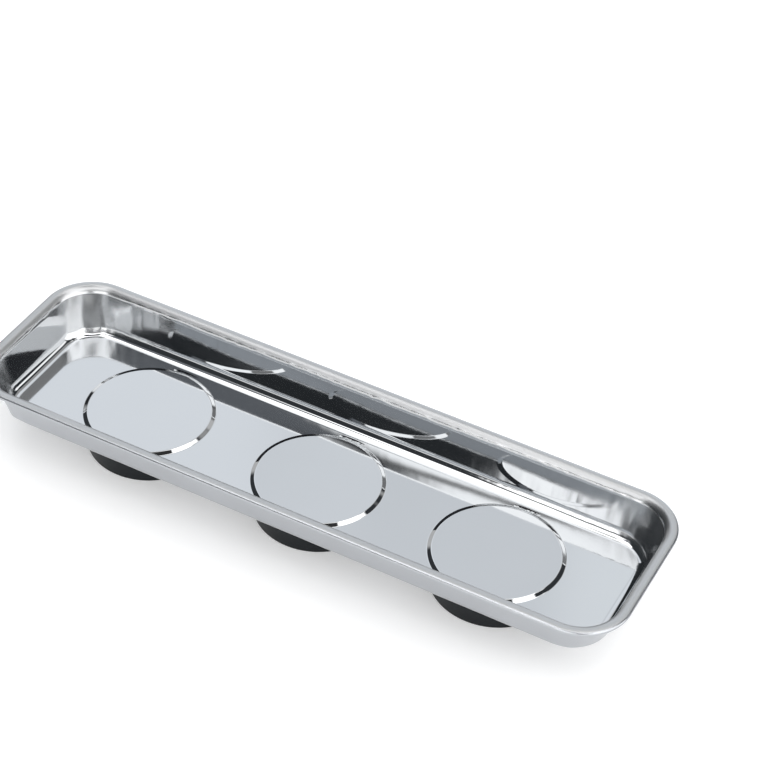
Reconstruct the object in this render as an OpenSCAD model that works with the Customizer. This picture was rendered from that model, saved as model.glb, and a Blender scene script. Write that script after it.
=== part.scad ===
// Magnetic parts tray: a pressed stainless pan standing on three rubber boots, each round a ring magnet.
// Millimetres. +X runs along the tray, +Z is up, and the boots stand on z = 0 under the middle of the tray.

/* [Tray pan] */
// Length over the rim
tray_l = 360; // [320:1:440]
// Width over the rim
tray_w = 106.5; // [103:0.5:140]
// Depth from the top of the rim to the inside floor
tray_depth = 25.2; // [18:0.2:34]
// Thickness of the pressed sheet
sheet_t = 0.7; // [0.4:0.05:1]
// Corner radius of the rim, seen from above
rim_corner_r = 26.4; // [24:0.2:34]
// Lean of the walls from upright, in degrees
wall_draft = 10.8; // [4:0.2:17]
// Inside radius of the blend between floor and wall
floor_blend_r = 6.2; // [2:0.2:7]
// Outer radius of the bend from the wall into the rim
rim_bend_r = 4; // [1.5:0.1:4.5]
// Flat of the rim, from the end of the bend to the outer edge
rim_flat_w = 2.6; // [2:0.1:4]
// Width of the hem folded back under the rim, along the straight sides
hem_w = 4.2; // [2:0.1:4.5]
// Gap between the rim and the hem under it
hem_gap = 0.8; // [0.2:0.1:1.2]
// Corner radius of the hem's inner edge, tighter than the rim's, so that the hem narrows there
hem_corner_r = 17.5; // [12:0.5:20]

/* [Pressed discs] */
// Distance from each end of the rim to the middle of the outer disc
disc_end = 79.7; // [52:0.1:106]
// Width of the sloping step
disc_step_w = 2.8; // [1:0.1:3.2]
// Height of a disc above the inside floor
disc_rise = 0.9; // [0.4:0.1:2]

/* [Rubber boots] */
// Thickness of the boot's side at its face
boot_wall_t = 2.9; // [2:0.1:4]
// Growth of the boot's radius from its face to its flange
boot_lean = 0.5; // [0.1:0.1:1]
// Thickness of the lip that seats in the pocket under the disc
boot_lip_t = 1.85; // [1:0.05:2.5]
// Gap between that lip and the pocket's side
pocket_gap = 0.3; // [0.1:0.05:0.6]
// Rounding of the edge that the boot stands on
boot_edge_r = 1; // [0.4:0.1:1.5]
// Thickness of the face under the magnet
boot_face_t = 4; // [2.5:0.1:6]
// Overlap of the flange beyond the pressed disc
boot_flange_lap = 0.9; // [0.5:0.1:2]
// Thickness of the flange
boot_flange_t = 1.8; // [1:0.1:3]
// Radius of the innermost grip groove
groove_first_r = 9.6; // [6:0.1:14]
// Distance from one groove to the next
groove_pitch = 3.1; // [2:0.05:5]
// Width of a half-round groove
groove_w = 1.4; // [0.6:0.1:1.8]
// Least width of face left between the outermost groove and the rounded edge
groove_edge_land = 2.5; // [1:0.1:4]
// Diameter of the vent through the face
vent_d = 4.4; // [2:0.1:8]

/* [Magnets] */
// Outer diameter of a ring magnet
magnet_d = 59; // [50:0.5:63]
// Bore of a ring magnet
magnet_bore_d = 24; // [10:0.5:36]
// Height of a ring magnet
magnet_h = 14.8; // [8:0.1:20]
// Gap all round a magnet in its boot
magnet_gap = 0.3; // [0.1:0.05:0.6]
// Thickness of the adhesive pad between magnet and tray
pad_t = 0.5; // [0.2:0.05:1]
// Distance from the magnet's rim and bore to the pad's edges
pad_inset = 1; // [0:0.1:3]

/* [Hidden] */
$fn = 96;

steel_colour = [0.78, 0.8, 0.83];
rubber_colour = [0.15, 0.15, 0.16];
ferrite_colour = [0.24, 0.24, 0.26];
adhesive_colour = [0.86, 0.83, 0.72];

// Heights, from the ground up through boot face, magnet and pad to the sheet
magnet_z = boot_face_t;
pad_z = magnet_z + magnet_h;
pocket_z = pad_z + pad_t;
floor_z = pocket_z - disc_rise;
rim_z = floor_z + sheet_t + tray_depth;

// Middles of the rim's corner curves
corner_x = tray_l / 2 - rim_corner_r;
corner_y = tray_w / 2 - rim_corner_r;

// Section through the pan's side, measured outwards from a corner's middle: the wall's outward normal,
// the middle of the bend into the rim, the wall's straight length and the middle of the floor blend
wall_normal = [cos(wall_draft), -sin(wall_draft)];
wall_up = [sin(wall_draft), cos(wall_draft)];
bend_c = [rim_corner_r - rim_flat_w, rim_z - rim_bend_r];
blend_c_z = floor_z + sheet_t + floor_blend_r;
wall_l = (bend_c.y - blend_c_z - (rim_bend_r + floor_blend_r) * wall_normal.y) / wall_up.y;
blend_c = bend_c - (rim_bend_r + floor_blend_r) * wall_normal - wall_l * wall_up;

// Height of the rim's rolled edge, with the hem under it, and the middle of its fold
hem_t = 2 * sheet_t + hem_gap;
hem_edge_r = hem_t / 2;
fold_c = [rim_corner_r - hem_edge_r, rim_z - hem_edge_r];

// Radii, from the magnet out through its boot to the pocket and the pressed disc over it
magnet_r = magnet_d / 2;
cavity_r = magnet_r + magnet_gap;
boot_face_r = cavity_r + boot_wall_t;
boot_base_r = boot_face_r + boot_lean;
lip_r = cavity_r + boot_lip_t;
disc_top_r = lip_r + pocket_gap;
disc_r = disc_top_r + disc_step_w;
boot_flange_r = disc_r + boot_flange_lap;
boot_flange_z = floor_z - boot_flange_t;
magnet_pitch = tray_l / 2 - disc_end;

// As many grooves as the face has room for
groove_room = boot_face_r - boot_edge_r - groove_edge_land - groove_w / 2 - groove_first_r;
groove_n = floor(groove_room / groove_pitch) + 1;

// Number of straight steps in each bend of the sheet
arc_steps = 10;
// Length by which shapes of one sheet run into each other, and by which cutting bodies pass their faces
seam_lap = 1;
overcut = 1;

// Plan of a rectangle with round corners
module rounded_plan(length, width, radius) {
    square([length - 2 * radius, width], center = true);
    square([length, width - 2 * radius], center = true);
    for (sx = [-1, 1], sy = [-1, 1])
        translate([sx * (length / 2 - radius), sy * (width / 2 - radius)])
            circle(radius);
}

// Points along an arc
function arc(middle, radius, from, to) = [
    for (i = [0:arc_steps])
        let (angle = from + (to - from) * i / arc_steps)
        middle + radius * [cos(angle), sin(angle)]
];

// Section of the pan's side, up its outside and back down its inside: floor, floor blend, leaning wall, bend,
// the inside of the rim's fold, the hem's root, the fold's round outside, and the same bends on the inner face
module side_section() {
    floor_edge_r = blend_c.x - seam_lap;
    hem_root_r = fold_c.x - seam_lap;
    polygon(concat(
        [[floor_edge_r, floor_z]],
        arc(blend_c, floor_blend_r + sheet_t, -90, -wall_draft),
        arc(bend_c, rim_bend_r - sheet_t, 180 - wall_draft, 90),
        arc(fold_c, hem_gap / 2, 90, -90),
        [[hem_root_r, rim_z - hem_t + sheet_t], [hem_root_r, rim_z - hem_t]],
        arc(fold_c, hem_edge_r, -90, 90),
        arc(bend_c, rim_bend_r, 90, 180 - wall_draft),
        arc(blend_c, floor_blend_r, -wall_draft, -90),
        [[floor_edge_r, floor_z + sheet_t]]
    ));
}

// The side section carried along one straight side, from the middle of its run
module straight_side(run, turn, out) {
    rotate(turn)
        translate([out, 0, 0])
            rotate([90, 0, 0])
                linear_extrude(run, center = true)
                    side_section();
}

// The pan's sides: four straight runs and four quarter turns on the rim's corner middles
module sides() {
    for (turn = [0, 180]) {
        straight_side(2 * corner_y, turn, corner_x);
        straight_side(2 * corner_x, turn + 90, corner_y);
    }
    for (quarter = [0:3]) {
        sx = quarter == 0 || quarter == 3 ? 1 : -1;
        sy = quarter < 2 ? 1 : -1;
        translate([sx * corner_x, sy * corner_y, 0])
            rotate(90 * quarter)
                rotate_extrude(angle = 90)
                    side_section();
    }
}

// Sheet folded back under the rim: full width on the straights, a crescent gap at the corners
module hem() {
    translate([0, 0, rim_z - hem_t])
        linear_extrude(sheet_t)
            difference() {
                rounded_plan(tray_l - 2 * hem_edge_r, tray_w - 2 * hem_edge_r, rim_corner_r - hem_edge_r);
                rounded_plan(tray_l - 2 * hem_w, tray_w - 2 * hem_w, hem_corner_r);
            }
}

// Flat floor inside the blend, open where the discs are pressed up
module floor_sheet() {
    translate([0, 0, floor_z])
        linear_extrude(sheet_t)
            difference() {
                rounded_plan(2 * (corner_x + blend_c.x), 2 * (corner_y + blend_c.x), blend_c.x);
                for (i = [-1:1])
                    translate([i * magnet_pitch, 0])
                        circle(disc_r);
            }
}

// One disc of the floor, pressed up with a sloping step round it
module pressed_disc() {
    rotate_extrude()
        polygon([
            [0, pocket_z],
            [disc_top_r, pocket_z],
            [disc_r, floor_z],
            [disc_r + seam_lap, floor_z],
            [disc_r + seam_lap, floor_z + sheet_t],
            [disc_r, floor_z + sheet_t],
            [disc_top_r, pocket_z + sheet_t],
            [0, pocket_z + sheet_t]
        ]);
}

module tray() {
    color(steel_colour) {
        sides();
        hem();
        floor_sheet();
        for (i = [-1:1])
            translate([i * magnet_pitch, 0, 0])
                pressed_disc();
    }
}

// Outer section of a boot: rounded standing edge, leaning side, flange and the lip that seats in the pocket
module boot_outline() {
    polygon([
        [0, 0],
        [boot_face_r - boot_edge_r, 0],
        [boot_face_r, boot_edge_r],
        [boot_base_r, boot_flange_z],
        [boot_flange_r, boot_flange_z],
        [boot_flange_r, floor_z],
        [lip_r, floor_z],
        [lip_r, pocket_z],
        [0, pocket_z]
    ]);
    translate([boot_face_r - boot_edge_r, boot_edge_r])
        circle(boot_edge_r);
}

// Rubber cup over a magnet, with grip grooves round a vented middle
module boot(place) {
    color(rubber_colour)
        translate([place * magnet_pitch, 0, 0])
            rotate_extrude()
                difference() {
                    boot_outline();
                    translate([0, boot_face_t])
                        square([cavity_r, pocket_z]);
                    translate([0, -overcut])
                        square([vent_d / 2, boot_face_t + 2 * overcut]);
                    for (i = [0:groove_n - 1])
                        translate([groove_first_r + i * groove_pitch, 0])
                            circle(groove_w / 2);
                }
}

// Ferrite ring inside a boot
module magnet(place) {
    color(ferrite_colour)
        translate([place * magnet_pitch, 0, magnet_z])
            difference() {
                cylinder(h = magnet_h, r = magnet_r);
                translate([0, 0, -overcut])
                    cylinder(h = magnet_h + 2 * overcut, d = magnet_bore_d);
            }
}

// Ring of adhesive that holds a magnet up against its pressed disc
module adhesive_pad(place) {
    color(adhesive_colour)
        translate([place * magnet_pitch, 0, pad_z])
            difference() {
                cylinder(h = pad_t, r = magnet_r - pad_inset);
                translate([0, 0, -overcut])
                    cylinder(h = pad_t + 2 * overcut, r = magnet_bore_d / 2 + pad_inset);
            }
}

module left_boot() { boot(-1); }
module middle_boot() { boot(0); }
module right_boot() { boot(1); }
module left_magnet() { magnet(-1); }
module middle_magnet() { magnet(0); }
module right_magnet() { magnet(1); }
module left_adhesive_pad() { adhesive_pad(-1); }
module middle_adhesive_pad() { adhesive_pad(0); }
module right_adhesive_pad() { adhesive_pad(1); }

tray();
left_boot();
middle_boot();
right_boot();
left_magnet();
middle_magnet();
right_magnet();
left_adhesive_pad();
middle_adhesive_pad();
right_adhesive_pad();
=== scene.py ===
from math import atan2, copysign, cos, hypot, pi, radians, sin, sqrt, tan

import bmesh
import bpy
from mathutils import Matrix, Vector


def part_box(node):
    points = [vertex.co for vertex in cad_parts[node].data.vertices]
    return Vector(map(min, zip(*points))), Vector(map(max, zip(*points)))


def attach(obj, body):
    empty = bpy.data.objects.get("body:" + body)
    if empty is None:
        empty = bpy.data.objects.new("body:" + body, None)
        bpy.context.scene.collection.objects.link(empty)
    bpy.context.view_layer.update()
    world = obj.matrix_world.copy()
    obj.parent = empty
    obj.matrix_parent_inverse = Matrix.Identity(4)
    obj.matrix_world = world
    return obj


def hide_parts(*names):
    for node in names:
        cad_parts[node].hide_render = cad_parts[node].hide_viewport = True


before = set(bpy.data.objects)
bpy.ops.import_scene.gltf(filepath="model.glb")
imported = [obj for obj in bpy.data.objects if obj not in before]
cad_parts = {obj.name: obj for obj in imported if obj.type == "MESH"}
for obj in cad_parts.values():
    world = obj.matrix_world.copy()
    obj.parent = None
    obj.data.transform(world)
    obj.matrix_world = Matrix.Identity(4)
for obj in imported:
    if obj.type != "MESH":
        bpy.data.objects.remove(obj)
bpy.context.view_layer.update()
MM = 0.001


# The pan: one blank of thin stainless sheet, deep-drawn in a press so that its walls lean out and its corners
# are blends, then trimmed, and its rim hemmed back under itself. A second stroke lifts a shallow disc of the
# floor over each magnet. The inside is mirror-polished and the outside keeps the duller drawn finish.
pan_low, pan_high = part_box("tray")
rim_z = pan_high.z
floor_under = pan_low.z
sheet = 0.7 * MM
floor_top = floor_under + sheet
floor_blend = 6.3 * MM
floor_border = 1.5 * MM
lean_foot = radians(9.6)
lean_top = radians(12.0)
rim_corner = 26.4 * MM
rim_flat = 2.2 * MM
rim_bend = 4.8 * MM
crown_start = 1.5 * MM
crown_round = 6.0 * MM
crown_fall = radians(12)
fold_out = 0.25 * MM
fold_round = 1.0 * MM
fold_low_round = 0.9 * MM
fold_sheet = 1.2 * sheet
fold_inside_round = 0.2 * MM
hem_inside_round = 0.3 * MM
hem_edge_round = 0.25 * MM
hem_height = 2.4 * MM
hem_width = 4.2 * MM
hem_rise = 0.3 * MM
hem_corner = 17.5 * MM
corner_x = pan_high.x - rim_corner
corner_y = pan_high.y - rim_corner
merge_reach = 0.002 * MM


def round_wire(mesh, corners, steps, margin, layer=None, plain_corners=0):
    """A chain of edges through (radius, height, rounding) corners in the XZ plane, each corner rounded.

    A point just past each end of a bend keeps the straight stretch beyond it flat when it is shaded. Small
    bends get a third of the steps. With a layer, the corners after the first plain ones are marked 1 in it.
    """
    small_bend = 0.5 * MM
    fewest_steps = 3
    points = [Vector((r, 0, z)) for r, z, _ in corners]
    reach = []
    for i, (_, _, rounding) in enumerate(corners):
        turn = (points[i] - points[i - 1]).angle(points[i + 1] - points[i]) if rounding else 0
        reach.append(rounding * tan(turn / 2))
    chain = []
    for i, point in enumerate(points):
        chain.append((point, reach[i], i))
        if i + 1 < len(points):
            span = points[i + 1] - point
            near, far = (r + margin if r else 0 for r in reach[i:i + 2])
            if near + far < span.length:
                chain += [(point + span.normalized() * near, 0, i)] if near else []
                chain += [(points[i + 1] - span.normalized() * far, 0, i + 1)] if far else []
    verts = [mesh.verts.new(point) for point, _, _ in chain]
    if layer:
        for vert, (_, _, i) in zip(verts, chain):
            vert[layer] = 1.0 if i >= plain_corners else 0.0
    for start, end in zip(verts, verts[1:]):
        mesh.edges.new((start, end))
    for vert, (_, offset, _) in zip(verts, chain):
        if offset:
            segments = steps if offset > small_bend else max(steps // 3, fewest_steps)
            bmesh.ops.bevel(mesh, geom=[vert], offset=offset, offset_type="OFFSET", segments=segments,
                            profile=0.5, affect="VERTICES", clamp_overlap=False, material=-1)
    return list(mesh.verts), list(mesh.edges)


def finished(mesh, name, material):
    """The bmesh as a smooth object riding on the part, with its normals pointing outwards."""
    bmesh.ops.remove_doubles(mesh, verts=mesh.verts, dist=merge_reach)
    bmesh.ops.recalc_face_normals(mesh, faces=mesh.faces)
    for face in mesh.faces:
        face.smooth = True
    data = bpy.data.meshes.new(name)
    mesh.to_mesh(data)
    mesh.free()
    piece = bpy.data.objects.new(name, data)
    piece.data.materials.append(material)
    bpy.context.scene.collection.objects.link(piece)
    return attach(piece, "root")


def share_past(amount, start, length):
    """How much of a length an amount has covered past a start, from 0 to 1."""
    return min(max((amount - start) / length, 0), 1)


# Corners of the sheet's section, measured outwards from the middle of a rim corner. The wall is bowed: it
# leans out a little more at its top than at its foot.
bend_middle = rim_corner - rim_flat
wall_top = rim_z - rim_bend * (1 - sin(lean_top))
wall_foot = floor_top + floor_blend * (1 - sin(lean_foot))


def wall_r(z):
    """Radius of the wall's inside at a height."""
    share = (z - wall_foot) / (wall_top - wall_foot)
    slope = tan(lean_foot) + (tan(lean_top) - tan(lean_foot)) * share
    return bend_middle - rim_bend * cos(lean_top) - (wall_top - z) * (slope + tan(lean_top)) / 2


wall_shares = (0.15, 0.3, 0.5, 0.7, 0.85)
heights = [wall_foot + (wall_top - wall_foot) * share for share in wall_shares]
through = sheet / cos((lean_foot + lean_top) / 2)
inner_wall = [(wall_r(z), z, 0) for z in heights]
outer_wall = [(wall_r(z) + through, z, 0) for z in heights]
inner_foot = wall_r(wall_foot) - (wall_foot - floor_top) * tan(lean_foot)
inner_top = wall_r(wall_top) + (rim_z - wall_top) * tan(lean_top)
outer_foot = inner_foot + through - sheet * tan(lean_foot)
outer_top = inner_top + through - sheet * tan(lean_top)
floor_edge = inner_foot - floor_blend * tan((pi / 2 - lean_foot) / 2) - floor_border
fold_r = rim_corner + fold_out
fold_z = rim_z - (fold_out + crown_start) * tan(crown_fall)
hem_low = rim_z - hem_height
hem_end = rim_corner - hem_width
hem_end_low = hem_low + hem_rise
inside = [
    (floor_edge, floor_top, 0),
    (inner_foot, floor_top, floor_blend),
] + inner_wall + [
    (inner_top, rim_z, rim_bend),
    (rim_corner - crown_start, rim_z, crown_round),
]
outside = [
    (fold_r, fold_z, fold_round),
    (fold_r, hem_low, fold_low_round),
    (hem_end, hem_end_low, hem_edge_round),
    (hem_end, hem_end_low + sheet, hem_edge_round),
    (fold_r - fold_sheet, hem_low + sheet, hem_inside_round),
    (fold_r - fold_sheet, rim_z - fold_sheet, fold_inside_round),
    (outer_top, rim_z - sheet, rim_bend - sheet),
] + outer_wall[::-1] + [
    (outer_foot, floor_under, floor_blend + sheet),
    (floor_edge, floor_under, 0),
]

# The section is turned round each corner and drawn along each side, in short runs next to the corners
section_steps = 18
section_margin = 0.15 * MM
corner_steps = 48
side_runs = [0.5 * MM, 2 * MM, 2 * MM, 2.5 * MM, 8 * MM]
long_side_run = 30 * MM
pan = bmesh.new()
underside = pan.verts.layers.float.new("underside")
drawn = pan.verts.layers.float.new("drawn")
section = inside + outside
wire_verts, wire_edges = round_wire(pan, section, section_steps, section_margin, underside, len(inside))
bmesh.ops.translate(pan, verts=wire_verts, vec=(corner_x, corner_y, 0))
last = wire_verts + wire_edges
for corner, side_way, length, runs in (
    ((1, 1), (-1, 0, 0), 2 * corner_x, side_runs + [long_side_run]),
    ((-1, 1), (0, -1, 0), 2 * corner_y, side_runs),
    ((-1, -1), (1, 0, 0), 2 * corner_x, side_runs + [long_side_run]),
    ((1, -1), (0, 1, 0), 2 * corner_y, side_runs),
):
    middle = (corner[0] * corner_x, corner[1] * corner_y, 0)
    last = bmesh.ops.spin(pan, geom=last, cent=middle, axis=(0, 0, 1), angle=pi / 2, steps=corner_steps,
                          dvec=(0, 0, 0), use_merge=False)["geom_last"]
    for run in runs + [length - 2 * sum(runs)] + runs[::-1]:
        edges = [g for g in last if isinstance(g, bmesh.types.BMEdge)]
        last = bmesh.ops.extrude_edge_only(pan, edges=edges)["geom"]
        new_verts = [g for g in last if isinstance(g, bmesh.types.BMVert)]
        bmesh.ops.translate(pan, verts=new_verts, vec=Vector(side_way) * run)
        last = [g for g in last if not isinstance(g, bmesh.types.BMFace)]
bmesh.ops.remove_doubles(pan, verts=pan.verts, dist=merge_reach)

# How hard the sheet was worked is kept with it: not at all on the floor, a little on the straight walls, more
# round the corners and most on the rim. Next to a corner it fades, and soonest on the short walls.
wall_haze = 0.2
corner_haze = 1.0
rim_haze = 1.6
long_wall_fade = 30 * MM
end_wall_fade = 6 * MM
wall_haze_start = 0.3 * MM
rim_haze_depth = 3 * MM
haze_rise = 2 * MM
for vert in pan.verts:
    out_x, out_y = abs(vert.co.x) - corner_x, abs(vert.co.y) - corner_y
    faded = max(-out_x / long_wall_fade, -out_y / end_wall_fade, 0)
    on_wall = share_past(vert.co.z, floor_top + wall_haze_start, haze_rise)
    on_rim = share_past(vert.co.z, rim_z - rim_haze_depth, haze_rise)
    haze = wall_haze + (corner_haze - wall_haze) * max(1 - faded, 0)
    vert[drawn] = on_wall * haze * (1 - on_rim) + rim_haze * on_rim

# The corners get rounder towards the floor, where the punch that drew them was, and their floor blends get
# tighter. The two at the left end keep shallow flutes from the draw, which fade towards floor and rim.
corner_ease = 6.5 * MM
corner_tight = 0.75
tight_before = 7 * MM
tight_within = 9 * MM
blend_margin = 0.2 * MM
flute_depth = 0.4 * MM
flute_waves = 11.6
flute_start = radians(38)
flute_foot = 0.12
flute_end = 0.95
flute_fade = 0.6
for vert in pan.verts:
    out_x, out_y = abs(vert.co.x) - corner_x, abs(vert.co.y) - corner_y
    in_corner = out_x > 0 and out_y > 0
    turned = atan2(out_y, out_x) if in_corner else 0
    r = hypot(out_x, out_y) if in_corner else max(out_x, out_y)
    z = vert.co.z

    into_corner = min(turned, pi / 2 - turned) * rim_corner - max(-out_x, -out_y, 0)
    tight = share_past(into_corner, -tight_before, tight_before + tight_within)
    if tight and z < wall_foot + blend_margin and r > floor_edge + floor_border / 2:
        foot, level, blend_r = inner_foot, floor_top, floor_blend
        if vert[underside] > 0.5:
            foot, level, blend_r = outer_foot, floor_under, floor_blend + sheet
        shrink = 1 - (1 - corner_tight) * tight ** 2 * (3 - 2 * tight) * floor_blend / blend_r
        r, z = foot + (r - foot) * shrink, level + (z - level) * shrink
    if in_corner:
        out_x, out_y = r * cos(turned), r * sin(turned)
    else:
        out_x, out_y = min(out_x, r), min(out_y, r)

    ease = corner_ease * share_past(wall_top - z, 0, wall_top - floor_top)
    if min(out_x, out_y) > -ease:
        way_out = Vector((out_x + ease, out_y + ease)).normalized() * (r + ease)
        if vert.co.x < 0:
            angle = atan2(way_out.y, way_out.x)
            up = (z - floor_top) / (wall_top - floor_top)
            fade = share_past(up, 0, flute_foot) * share_past(flute_end - up, 0, flute_fade)
            fade *= sqrt(max(sin(2 * angle), 0))
            way_out.length += flute_depth * fade * cos(flute_waves * (angle - flute_start))
        out_x, out_y = way_out.x - ease, way_out.y - ease
    vert.co = (copysign(corner_x + out_x, vert.co.x), copysign(corner_y + out_y, vert.co.y), z)

# The discs that are pressed up: a sloping step with two bends, turned round each magnet's middle, on both
# skins. The steel inside the step has sprung back a little, so that the top skin is slightly hollow.
disc_rise = 1.0 * MM
disc_middle = 33.35 * MM
disc_slope = radians(24)
disc_bend = 1.2 * MM
disc_bend_steps = 10
disc_margin = 0.1 * MM
disc_hollow = 0.4 * MM
hollow_shares = (0.94, 0.8, 0.65, 0.5, 0.35, 0.2, 0.05)
disc_border = 3.0 * MM
disc_steps = 192
disc_haze = 0.15
level_play = 0.05 * MM
step_half = disc_rise / 2 / tan(disc_slope)
disc_top = disc_middle - step_half
sides = ("left", "middle", "right")
magnet_boxes = [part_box(f"{side}_magnet") for side in sides]
magnet_x = [(low.x + high.x) / 2 for low, high in magnet_boxes]
for level, hollow in ((floor_top, disc_hollow), (floor_under, 0)):
    step_corners = [
        (disc_middle + disc_border, level, 0),
        (disc_middle + step_half, level, disc_bend),
        (disc_top, level + disc_rise, disc_bend),
    ]
    step_corners += [(disc_top * k, level + disc_rise - hollow * (1 - k * k), 0) for k in hollow_shares]
    plain_corners = len(step_corners) if level == floor_top else 0
    for x in magnet_x:
        step = bmesh.new()
        step_underside = step.verts.layers.float.new("underside")
        step_drawn = step.verts.layers.float.new("drawn")
        verts, edges = round_wire(step, step_corners, disc_bend_steps, disc_margin, step_underside,
                                  plain_corners)
        bmesh.ops.spin(step, geom=verts + edges, cent=(0, 0, 0), axis=(0, 0, 1), angle=2 * pi,
                       steps=disc_steps, dvec=(0, 0, 0), use_merge=True)
        for vert in step.verts:
            on_step = abs(vert.co.xy.length - disc_middle) < step_half + disc_bend
            vert[step_drawn] = disc_haze if on_step else 0
        inner = [e for e in step.edges if e.is_boundary and e.verts[0].co.xy.length < disc_top / 2]
        bmesh.ops.edgeloop_fill(step, edges=inner)
        bmesh.ops.translate(step, verts=step.verts, vec=(x, 0, 0))
        data = bpy.data.meshes.new("pressed_step")
        step.to_mesh(data)
        step.free()
        pan.from_mesh(data)
        bpy.data.meshes.remove(data)
    rims = [e for e in pan.edges if e.is_boundary and all(abs(v.co.z - level) < level_play for v in e.verts)]
    bmesh.ops.triangle_fill(pan, use_beauty=True, edges=rims, normal=(0, 0, 1))

# The hem is squeezed narrower round each corner, where the sheet has no length to spare, and puckers there.
# The puckers run in waves round the corner, which drift along the tray so that no two corners are alike.
hem_top = hem_end_low + 1.15 * sheet
hem_play = 0.1 * MM
hem_fold = rim_corner - sheet
hem_offset = rim_corner - hem_width - hem_corner
pucker_reach = 0.3 * MM
reach_waves = 23
reach_drift = 90
pucker_height = 0.22 * MM
height_waves = 31
height_drift = 140
height_middle = 0.6
for vert in pan.verts:
    out_x, out_y = abs(vert.co.x) - corner_x, abs(vert.co.y) - corner_y
    r = hypot(out_x, out_y)
    on_hem = vert.co.z < hem_top and hem_end - hem_play < r < hem_fold
    if on_hem and out_x > 0 and out_y > 0:
        angle = atan2(out_y, out_x)
        c, s = cos(angle), sin(angle)
        end = hem_offset * (c + s) + sqrt(hem_corner ** 2 - (hem_offset * (c - s)) ** 2)
        if min(c, s) / max(c, s) * hem_end < hem_offset:
            end = hem_end / max(c, s)
        share = (hem_fold - r) / (hem_fold - hem_end)
        swell = sin(2 * angle) ** 2 * share
        new_r = hem_fold - share * (hem_fold - end)
        new_r += pucker_reach * swell * sin(reach_waves * angle + vert.co.x * reach_drift)
        vert.co.x += copysign(1, vert.co.x) * (new_r - r) * c
        vert.co.y += copysign(1, vert.co.y) * (new_r - r) * s
        swing = sin(height_waves * angle + vert.co.y * height_drift)
        vert.co.z -= pucker_height * swell * (height_middle + swing)


def feed(tree, socket, source):
    """A node's socket linked to another one, or set to a plain value."""
    if isinstance(source, bpy.types.NodeSocket):
        tree.links.new(source, socket)
    else:
        socket.default_value = source


def attribute(tree, name):
    """What a piece's mesh keeps under a name."""
    node = tree.nodes.new("ShaderNodeAttribute")
    node.attribute_name = name
    return node.outputs["Fac"]


def noise(tree, scale, detail, stretch=(1, 1, 1)):
    """Noise on object coordinates, stretched along an axis where the finish has a direction."""
    coordinates = tree.nodes.new("ShaderNodeTexCoord")
    mapping = tree.nodes.new("ShaderNodeMapping")
    texture = tree.nodes.new("ShaderNodeTexNoise")
    feed(tree, mapping.inputs["Vector"], coordinates.outputs["Object"])
    feed(tree, mapping.inputs["Scale"], stretch)
    feed(tree, texture.inputs["Vector"], mapping.outputs["Vector"])
    feed(tree, texture.inputs["Scale"], scale)
    feed(tree, texture.inputs["Detail"], detail)
    return texture.outputs["Fac"]


def spread(tree, source, low, high, to_low, to_high):
    """A value's range low to high carried over to another range, without running past its ends."""
    node = tree.nodes.new("ShaderNodeMapRange")
    feed(tree, node.inputs["Value"], source)
    feed(tree, node.inputs["From Min"], low)
    feed(tree, node.inputs["From Max"], high)
    feed(tree, node.inputs["To Min"], to_low)
    feed(tree, node.inputs["To Max"], to_high)
    return node.outputs["Result"]


def blend(tree, factor, first, second):
    """Two colours or values mixed by a factor."""
    node = tree.nodes.new("ShaderNodeMix")
    node.data_type = "RGBA"
    factor_in, first_in, second_in = node.inputs[0], node.inputs[6], node.inputs[7]
    feed(tree, factor_in, factor)
    feed(tree, first_in, first)
    feed(tree, second_in, second)
    colour_out = node.outputs[2]
    return colour_out


def worked_out(tree, operation, first, second):
    """One step of arithmetic on two values."""
    node = tree.nodes.new("ShaderNodeMath")
    node.operation = operation
    feed(tree, node.inputs[0], first)
    feed(tree, node.inputs[1], second)
    return node.outputs[0]


# Every material of the tray varies a little from spot to spot, in tone and in roughness together
smoothest_patch = 0.3
roughest_patch = 0.7
mottle = bpy.data.node_groups.new("mottled_surface", "ShaderNodeTree")
for label, kind in (("Vector", "Vector"), ("Scale", "Float"), ("Detail", "Float"), ("Dark", "Color"),
                    ("Light", "Color"), ("Smooth", "Float"), ("Rough", "Float")):
    mottle.interface.new_socket(label, in_out="INPUT", socket_type=f"NodeSocket{kind}")
for label, kind in (("Color", "Color"), ("Roughness", "Float")):
    mottle.interface.new_socket(label, in_out="OUTPUT", socket_type=f"NodeSocket{kind}")
taken = mottle.nodes.new("NodeGroupInput").outputs
given = mottle.nodes.new("NodeGroupOutput").inputs
patches = mottle.nodes.new("ShaderNodeTexNoise")
for label in ("Vector", "Scale", "Detail"):
    feed(mottle, patches.inputs[label], taken[label])
patch = patches.outputs["Fac"]
feed(mottle, given["Color"], blend(mottle, patch, taken["Dark"], taken["Light"]))
feed(mottle, given["Roughness"],
     spread(mottle, patch, smoothest_patch, roughest_patch, taken["Smooth"], taken["Rough"]))


def mottled(tree, scale, detail, dark, light, smooth, rough):
    """The mottled surface placed in a material with its own values: its colour and its roughness."""
    coordinates = tree.nodes.new("ShaderNodeTexCoord")
    node = tree.nodes.new("ShaderNodeGroup")
    node.node_tree = mottle
    feed(tree, node.inputs["Vector"], coordinates.outputs["Object"])
    for label, setting in (("Scale", scale), ("Detail", detail), ("Dark", dark), ("Light", light),
                           ("Smooth", smooth), ("Rough", rough)):
        feed(tree, node.inputs[label], setting)
    return node.outputs["Color"], node.outputs["Roughness"]


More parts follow.
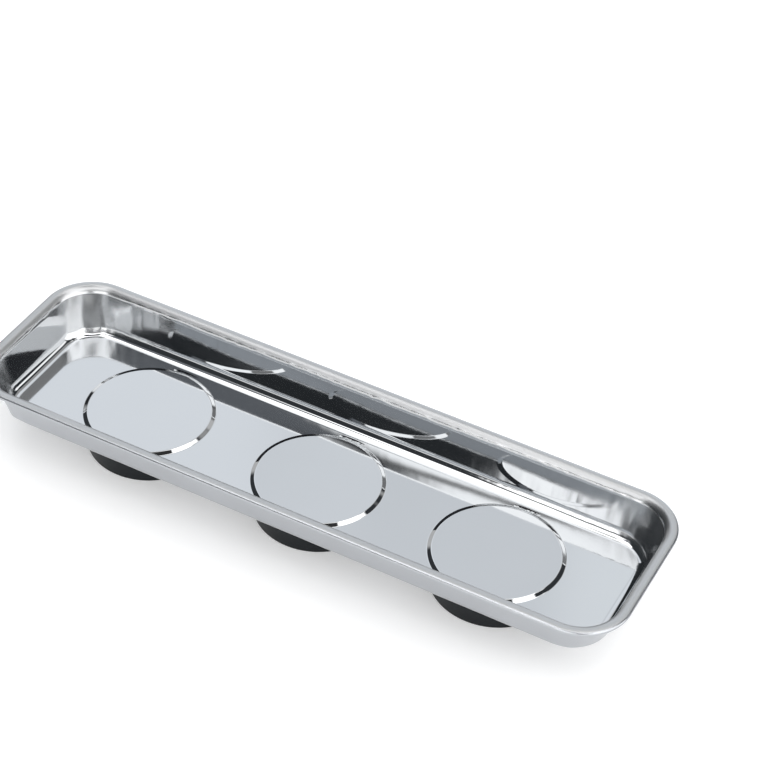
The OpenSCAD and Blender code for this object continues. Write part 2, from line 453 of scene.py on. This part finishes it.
# Stainless sheet: faint smudges and fine polishing lines along the length inside, a duller, blotchy outside
# and a satin rim. The floor is a trace duller than the walls, and the corners are hazy and streaked.
rim_tone = (0.47, 0.475, 0.48, 1)
rim_rough = 0.1
corner_rough = 0.2
floor_rough = 0.03
streak_depth = 0.36 * MM
line_share = 0.001
stainless = bpy.data.materials.new("polished_stainless")
stainless.use_nodes = True
steel_tree = stainless.node_tree
steel = steel_tree.nodes["Principled BSDF"]
steel.inputs["Metallic"].default_value = 1.0
on_underside = attribute(steel_tree, "underside")
worked = attribute(steel_tree, "drawn")
inside_tone, inside_rough = mottled(
    steel_tree, scale=14, detail=3, dark=(0.55, 0.56, 0.57, 1), light=(0.58, 0.59, 0.60, 1),
    smooth=0.02, rough=0.04)
outside_tone, outside_rough = mottled(
    steel_tree, scale=38, detail=5, dark=(0.43, 0.445, 0.465, 1), light=(0.49, 0.505, 0.53, 1),
    smooth=0.16, rough=0.26)
polish_lines = noise(steel_tree, scale=60, detail=4, stretch=(1, 30, 1))
draw_streaks = noise(steel_tree, scale=190, detail=0.5, stretch=(1, 1, 0.05))

rim_share = spread(steel_tree, worked, corner_haze, rim_haze, 0, 1)
for added_rough in (
    worked_out(steel_tree, "MULTIPLY", rim_share, rim_rough),
    spread(steel_tree, worked, wall_haze, corner_haze, 0, corner_rough),
    spread(steel_tree, worked, 0, disc_haze, floor_rough, 0),
):
    inside_rough = worked_out(steel_tree, "ADD", inside_rough, added_rough)
inside_tone = blend(steel_tree, rim_share, inside_tone, rim_tone)
feed(steel_tree, steel.inputs["Roughness"], blend(steel_tree, on_underside, inside_rough, outside_rough))
feed(steel_tree, steel.inputs["Base Color"], blend(steel_tree, on_underside, inside_tone, outside_tone))

streak_share = spread(steel_tree, worked, disc_haze, corner_haze, 0, 1)
below_rim = worked_out(steel_tree, "SUBTRACT", 1, rim_share)
streak_height = worked_out(steel_tree, "MULTIPLY", draw_streaks, streak_share)
streak_height = worked_out(steel_tree, "MULTIPLY", streak_height, below_rim)
line_height = worked_out(steel_tree, "MULTIPLY", polish_lines, line_share)
scratch = steel_tree.nodes.new("ShaderNodeBump")
scratch.inputs["Strength"].default_value = 1.0
scratch.inputs["Distance"].default_value = streak_depth
feed(steel_tree, scratch.inputs["Height"], worked_out(steel_tree, "ADD", streak_height, line_height))
feed(steel_tree, steel.inputs["Normal"], scratch.outputs["Normal"])

pan_piece = finished(pan, "pressed_pan", stainless)
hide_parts("tray")


# The adhesive: a ring of cured, cream-coloured glue that holds each magnet up against its pressed disc.
# It is the CAD solid, out of sight between magnet and pan.

def mottled_material(name, **values):
    """A material with the mottled surface as its colour and roughness."""
    material = bpy.data.materials.new(name)
    material.use_nodes = True
    tree = material.node_tree
    body = tree.nodes["Principled BSDF"]
    tone, rough = mottled(tree, **values)
    feed(tree, body.inputs["Base Color"], tone)
    feed(tree, body.inputs["Roughness"], rough)
    return material


glue = mottled_material("cured_adhesive", scale=180, detail=4, dark=(0.62, 0.57, 0.4, 1),
                        light=(0.76, 0.72, 0.56, 1), smooth=0.5, rough=0.6)
for side in sides:
    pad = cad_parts[f"{side}_adhesive_pad"]
    pad.data.materials.clear()
    pad.data.materials.append(glue)


# The magnets: pressed and sintered ferrite rings, ground flat on both faces, dark grey and slightly grainy.
# They are the CAD solids, closed in by the boots.
ferrite = mottled_material("sintered_ferrite", scale=900, detail=3, dark=(0.035, 0.035, 0.038, 1),
                           light=(0.075, 0.075, 0.08, 1), smooth=0.45, rough=0.65)
for side in sides:
    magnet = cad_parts[f"{side}_magnet"]
    magnet.data.materials.clear()
    magnet.data.materials.append(ferrite)


# The boots: black rubber cups moulded in one piece, pushed over the magnets and stuck to the pan by a thin
# flange. Rings are moulded into the standing face for grip, round a plain middle with a vent hole.
rubber = mottled_material("moulded_rubber", scale=55, detail=4, dark=(0.004, 0.0062, 0.008, 1),
                          light=(0.008, 0.0105, 0.013, 1), smooth=0.34, rough=0.46)
rubber_tree = rubber.node_tree
rubber_body = rubber_tree.nodes["Principled BSDF"]
rubber_body.inputs["Specular IOR Level"].default_value = 0.25
rubber_bump = rubber_tree.nodes.new("ShaderNodeBump")
rubber_bump.inputs["Strength"].default_value = 0.12
rubber_bump.inputs["Distance"].default_value = 0.05 * MM
feed(rubber_tree, rubber_bump.inputs["Height"], noise(rubber_tree, scale=1400, detail=2))
feed(rubber_tree, rubber_body.inputs["Normal"], rubber_bump.outputs["Normal"])

vent = 2.2 * MM
vent_round = 0.35 * MM
boot_face = 4.0 * MM
boot_edge = 1.0 * MM
boot_foot = 32.7 * MM
boot_waist = 33.2 * MM
boot_flange = 1.8 * MM
flange_round = 0.5 * MM
lip_out = 31.65 * MM
lip_round = 0.2 * MM
cavity = 29.8 * MM
cavity_round = 0.3 * MM
groove_first = 9.6 * MM
groove_pitch = 3.1 * MM
groove_count = 7
groove_width = 1.4 * MM
groove_bottom = 0.7 * MM
groove_depth = 0.75 * MM
groove_round = 0.22 * MM
boot_bend_steps = 4
boot_margin = 0.06 * MM
boot_steps = 160
for side, x in zip(sides, magnet_x):
    boot_low, boot_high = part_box(f"{side}_boot")
    flange_r = (boot_high.x - boot_low.x) / 2
    flange_z = floor_under - boot_flange
    outline = [(vent, boot_face, 0), (vent, 0, vent_round)]
    for i in range(groove_count):
        r = groove_first + i * groove_pitch
        outline += [
            (r - groove_width / 2, 0, groove_round),
            (r - groove_bottom / 2, groove_depth, groove_round),
            (r + groove_bottom / 2, groove_depth, groove_round),
            (r + groove_width / 2, 0, groove_round),
        ]
    outline += [
        (boot_foot, 0, boot_edge),
        (boot_waist, flange_z, flange_round),
        (flange_r, flange_z, flange_round),
        (flange_r, floor_under, lip_round),
        (lip_out, floor_under, 0),
        (lip_out, boot_high.z, lip_round),
        (cavity, boot_high.z, lip_round),
        (cavity, boot_face, cavity_round),
        (vent, boot_face, 0),
    ]
    boot = bmesh.new()
    verts, edges = round_wire(boot, outline, boot_bend_steps, boot_margin)
    bmesh.ops.spin(boot, geom=verts + edges, cent=(0, 0, 0), axis=(0, 0, 1), angle=2 * pi, steps=boot_steps,
                   dvec=(0, 0, 0), use_merge=True)
    bmesh.ops.translate(boot, verts=boot.verts, vec=(x, 0, 0))
    boot_piece = finished(boot, f"{side}_rubber_boot", rubber)
    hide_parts(f"{side}_boot")


# The floor: a wide sheet of white paper, lit evenly, which still takes the tray's soft shadow.
# A slight glow of its own keeps it white for the camera and in the steel's reflections.
paper_half = 6000 * MM
paper_glow = 0.3
paper = bpy.data.materials.new("white_paper")
paper.use_nodes = True
paper_tree = paper.node_tree
paper_body = paper_tree.nodes["Principled BSDF"]
paper_body.inputs["Base Color"].default_value = (0.86, 0.86, 0.86, 1)
paper_body.inputs["Roughness"].default_value = 0.9
paper_body.inputs["Specular IOR Level"].default_value = 0.1
paper_body.inputs["Emission Color"].default_value = (1, 1, 1, 1)
ray = paper_tree.nodes.new("ShaderNodeLightPath").outputs
seen = worked_out(paper_tree, "MAXIMUM", ray["Is Glossy Ray"], ray["Is Transmission Ray"])
seen = worked_out(paper_tree, "MAXIMUM", ray["Is Camera Ray"], seen)
glow = worked_out(paper_tree, "MULTIPLY", seen, paper_glow)
feed(paper_tree, paper_body.inputs["Emission Strength"], glow)
ground = bmesh.new()
bmesh.ops.create_grid(ground, x_segments=1, y_segments=1, size=paper_half)
ground_data = bpy.data.meshes.new("paper_floor")
ground.to_mesh(ground_data)
ground.free()
ground_piece = bpy.data.objects.new("paper_floor", ground_data)
ground_piece.data.materials.append(paper)
bpy.context.scene.collection.objects.link(ground_piece)


# The light: softboxes overhead, in front and to the right, and a lit wall at the back left, with the dim room
# between them, which gives the polished steel its dark reflections. The camera sees white past the floor.
# Directions are in degrees: round the tray from its near side, positive to the right, and upwards.
world = bpy.data.worlds.new("studio")
bpy.context.scene.world = world
world.use_nodes = True
sky = world.node_tree
looking = sky.nodes.new("ShaderNodeTexCoord").outputs["Generated"]


def along(x, y, z):
    """How far the direction looked in goes along a given one."""
    node = sky.nodes.new("ShaderNodeVectorMath")
    node.operation = "DOT_PRODUCT"
    feed(sky, node.inputs[0], looking)
    feed(sky, node.inputs[1], (x, y, z))
    return node.outputs["Value"]


def past(measure, start, end):
    """0 to 1 as a measure goes from start to end, with soft ends."""
    edge = spread(sky, measure, start, end, 0, 1)
    edge.node.interpolation_type = "SMOOTHSTEP"
    return edge


def both(first, second):
    """Two masks taken together."""
    return worked_out(sky, "MULTIPLY", first, second)


def grey(level):
    """A neutral light of a given strength."""
    return (level, level, level, 1)


in_degrees = 180 / pi
bearing = worked_out(sky, "MULTIPLY", worked_out(sky, "ARCTAN2", along(1, 0, 0), along(0, -1, 0)), in_degrees)
upward = worked_out(sky, "MULTIPLY", worked_out(sky, "ARCSINE", along(0, 0, 1), 0), in_degrees)


def softbox(around, left, right, low, high, light, edge=2):
    """A panel laid over what is round it, with soft edges of a given half width."""
    across = both(past(bearing, left - edge, left + edge), past(bearing, right + edge, right - edge))
    upright = both(past(upward, low - edge, low + edge), past(upward, high + edge, high - edge))
    return blend(sky, both(across, upright), around, light)


# The lit wall at the back left, which the floor mirrors: a little brighter towards both its ends, with a
# shaded foot at the left. It runs on past the back, and dims there towards the right.
straight_down, wall_height = -90, 61
wall_middle_light = (0.93, 0.97, 1.02, 1)
wall_left_light = (1.11, 1.16, 1.22, 1)
wall_back_light = (1.09, 1.14, 1.19, 1)
wall_shade = grey(0.7)
shaded_foot = both(past(bearing, start=-139, end=-133), past(upward, start=36, end=30))
lit_wall = blend(sky, past(bearing, start=-155, end=-149), wall_middle_light, wall_left_light)
lit_wall = blend(sky, past(bearing, start=-160, end=-163), lit_wall, wall_back_light)
lit_wall = blend(sky, shaded_foot, lit_wall, wall_shade)
dim_room = (0.047, 0.052, 0.057, 1)
studio = softbox(dim_room, left=-181, right=-119, low=straight_down, high=wall_height, light=lit_wall)
studio = softbox(studio, left=176, right=181, low=straight_down, high=wall_height, light=grey(1.1))
studio = softbox(studio, left=154, right=176, low=44, high=60, light=grey(0.45))
studio = softbox(studio, left=162, right=181, low=34, high=44, light=grey(0.72))

# Two small lamps at the back right, the tall softbox to the right and the bright table in front
studio = softbox(studio, left=130, right=147, low=29.5, high=40, light=grey(1.6), edge=1)
studio = softbox(studio, left=136, right=158, low=55.5, high=70, light=grey(2.0), edge=1)
studio = softbox(studio, left=42, right=122, low=3, high=70, light=grey(2.1), edge=3)
studio = softbox(studio, left=-42, right=42, low=straight_down, high=18.5, light=grey(1.2), edge=0.6)

# The front softbox, whose left side slants, and dim stretches of ceiling above it and to its left
full_light = grey(2.6)
front_slant = 0.22
slanted = worked_out(sky, "ADD", bearing, worked_out(sky, "MULTIPLY", upward, front_slant))
front_across = both(past(slanted, start=-11.9, end=-10.4), past(bearing, start=25, end=21))
front_upright = both(past(upward, start=18, end=20), past(upward, start=45, end=41))
studio = blend(sky, both(front_across, front_upright), studio, full_light)
studio = softbox(studio, left=0, right=58, low=43, high=61, light=grey(0.45))
studio = softbox(studio, left=-60, right=-41, low=54, high=62, light=(0.27, 0.285, 0.31, 1))

# The overhead softbox: its front flap, its main panel with a straight left side, the dark seam between the
# two, the dark lamp head in its middle and a shaded round patch towards the back left
studio = softbox(studio, left=-40, right=0, low=53, high=70, light=full_light)
left_side = past(along(0.825, 0.565, 0), start=-0.445, end=-0.415)
studio = blend(sky, both(past(upward, start=60.5, end=62.5), left_side), studio, full_light)
studio = softbox(studio, left=-44, right=-22, low=61.3, high=62.5, light=grey(0.15), edge=0.4)
lamp_head = past(along(0.01, 0.02, 1), start=0.970, end=0.976)
studio = blend(sky, lamp_head, studio, grey(0.05))
shaded_patch = past(along(-0.24, 0.45, 0.86), start=0.985, end=0.992)
studio = blend(sky, shaded_patch, studio, grey(0.55))
camera_ray = sky.nodes.new("ShaderNodeLightPath").outputs["Is Camera Ray"]
feed(sky, sky.nodes["Background"].inputs["Color"], blend(sky, camera_ray, studio, grey(1)))


# The camera: where the photograph was taken from, with its slight roll
camera_place = Vector((0.37445, -0.72286, 0.78844))
camera_aim = Vector((-0.00067, 0.07897, 0.02))
camera_roll = radians(4.17)
camera_data = bpy.data.cameras.new("camera")
camera_data.lens = 102.1
camera_data.sensor_width = 36
camera_data.clip_end = 20
camera = bpy.data.objects.new("camera", camera_data)
facing = (camera_aim - camera_place).to_track_quat("-Z", "Y").to_matrix()
rolled = facing @ Matrix.Rotation(camera_roll, 3, "Z")
camera.matrix_world = Matrix.Translation(camera_place) @ rolled.to_4x4()
bpy.context.scene.collection.objects.link(camera)
bpy.context.scene.camera = camera
bpy.context.scene.view_settings.view_transform = "Standard"
